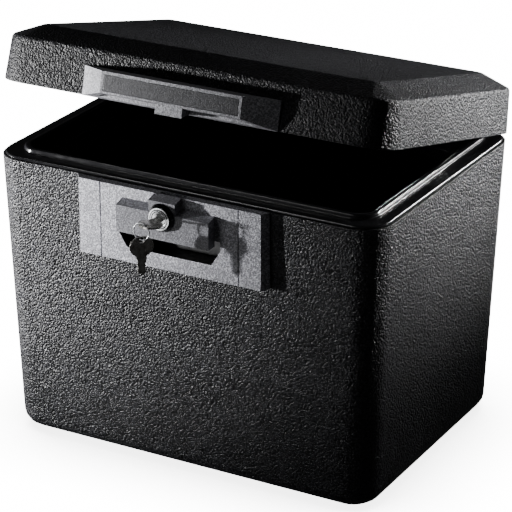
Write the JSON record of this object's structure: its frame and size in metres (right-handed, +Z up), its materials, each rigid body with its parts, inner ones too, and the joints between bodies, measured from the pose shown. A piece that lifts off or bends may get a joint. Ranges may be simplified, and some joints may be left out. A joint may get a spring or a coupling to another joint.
{
  "type": "fireproof document box",
  "caption": "Thick-walled fire-resistant file chest with a tapered grained body, hinged bevelled lid, keyed cam lock and spare key on a ring.",
  "frame": {"origin": "centre of the bounding box's underside, on the floor, with the lid ajar and the keys hanging", "axes": "+X to the right as seen from the front, +Y from the lock towards the hinges, +Z up"},
  "size_m": [0.3938, 0.3466, 0.3894],
  "materials": {
    "grained_shell": "satin",
    "smooth_liner": "gloss",
    "mineral_fill": "matte",
    "foot_rubber": "matte",
    "plate_grey": "satin",
    "hood_grey": "satin",
    "seal_rubber": "matte",
    "lock_chrome": "polished",
    "key_nickel": "gloss",
    "black_steel": "satin",
    "bright_steel": "satin"
  },
  "bodies": {
    "base": {"base_shell": "grained_shell", "base_insulation": "mineral_fill", "base_liner": "smooth_liner", "foot_front_left": "foot_rubber", "foot_front_right": "foot_rubber", "foot_back_left": "foot_rubber", "foot_back_right": "foot_rubber", "lock_plate": "plate_grey", "lock_block": "plate_grey", "lock_bezel": "lock_chrome", "lock_nut": "bright_steel", "hinge_base_leaf_left": "black_steel", "hinge_base_leaf_right": "black_steel", "hinge_pin_left": "bright_steel", "hinge_pin_right": "bright_steel", "hinge_base_screw_left_1": "bright_steel", "hinge_base_screw_left_2": "bright_steel", "hinge_base_screw_right_1": "bright_steel", "hinge_base_screw_right_2": "bright_steel"},
    "lid": {"lid_shell": "grained_shell", "lid_insulation": "mineral_fill", "lid_liner": "smooth_liner", "lid_seal": "seal_rubber", "lid_hood": "hood_grey", "name_plate": "hood_grey", "strike": "bright_steel", "hinge_lid_leaf_left": "black_steel", "hinge_lid_leaf_right": "black_steel", "hinge_lid_screw_left_1": "bright_steel", "hinge_lid_screw_left_2": "bright_steel", "hinge_lid_screw_right_1": "bright_steel", "hinge_lid_screw_right_2": "bright_steel"},
    "lock": {"lock_plug": "lock_chrome", "lock_cam": "bright_steel", "cam_screw": "bright_steel"},
    "key": {"key": "key_nickel"},
    "key_ring": {"key_ring": "bright_steel"},
    "spare_key": {"spare_key": "key_nickel"}
  },
  "joints": [
    {"name": "lid_hinge", "type": "hinge", "parent": "base", "child": "lid", "pos_m": [0, 0.16828, 0.2754], "axis": [-1, 0, 0], "range_deg": [-14.2, 86]},
    {"name": "lock_turn", "type": "hinge", "parent": "base", "child": "lock", "pos_m": [-0.0044, -0.14472, 0.2578], "axis": [0, -1, 0], "range_deg": [0, 90]},
    {"name": "key_withdraw", "type": "slide", "parent": "lock", "child": "key", "axis": [0, -1, 0], "range_m": [0, 0.03]},
    {"name": "ring_hang", "type": "hinge", "parent": "key", "child": "key_ring", "pos_m": [-0.0044, -0.16432, 0.2578], "axis": [0, -1, 0], "range_deg": [-90, 0]},
    {"name": "spare_key_swing", "type": "hinge", "parent": "key_ring", "child": "spare_key", "pos_m": [-0.00992, -0.16432, 0.24448], "axis": [1, 0, 0], "range_deg": [-30, 8]}
  ],
  "couplings": [
    {"joint": "ring_hang", "follows": "lock_turn", "ratio": -1}
  ]
}
